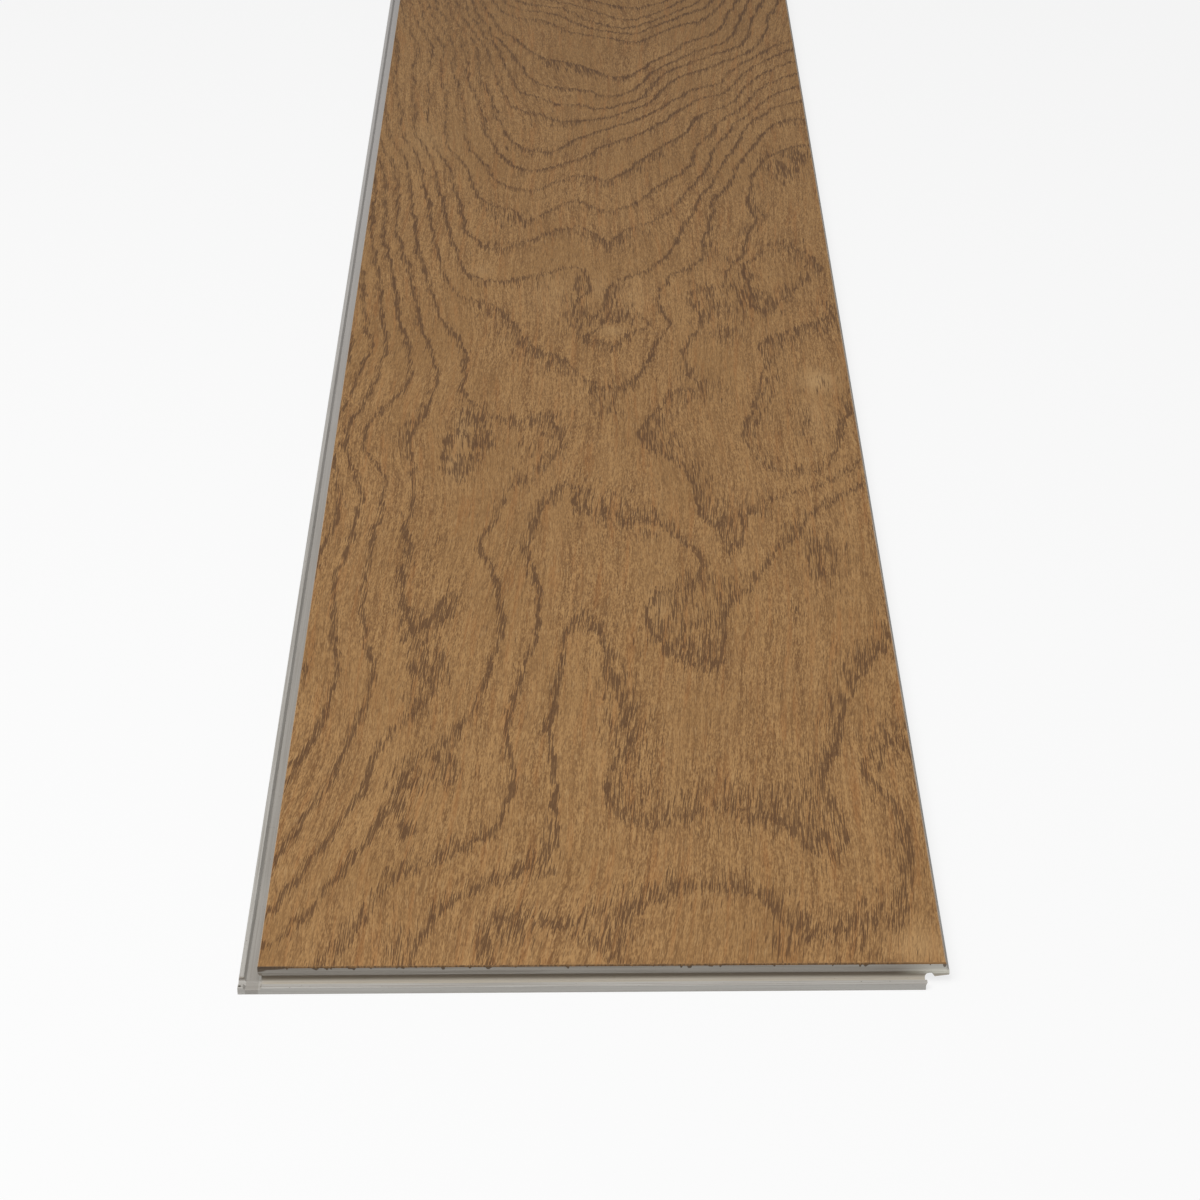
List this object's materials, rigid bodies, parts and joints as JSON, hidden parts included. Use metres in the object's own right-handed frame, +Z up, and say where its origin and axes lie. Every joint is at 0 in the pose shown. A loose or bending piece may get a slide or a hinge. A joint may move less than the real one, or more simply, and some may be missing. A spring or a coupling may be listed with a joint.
{
  "type": "floorboard",
  "caption": "Long flat click-lock floorboard: a thin oak-veneer face on a stone-polymer core, with locking lips and tongues milled along its sides and ends to join its neighbours.",
  "frame": {"origin": "on the underside, at the centre of the rectangle that one laid board covers, joint to joint", "axes": "+X across the board, from its grooved long side to its tongued one; +Y along it, from its grooved end to its tongued end; +Z up, through the oak face"},
  "size_m": [0.1963, 1.2244, 0.0065],
  "materials": {
    "composite_core": "sawn and milled stone-polymer board, matt grey",
    "oak_veneer": "brown stained oak, brushed and matt lacquered"
  },
  "bodies": {
    "root": {"composite_core": "composite_core", "oak_veneer": "oak_veneer"}
  },
  "joints": []
}
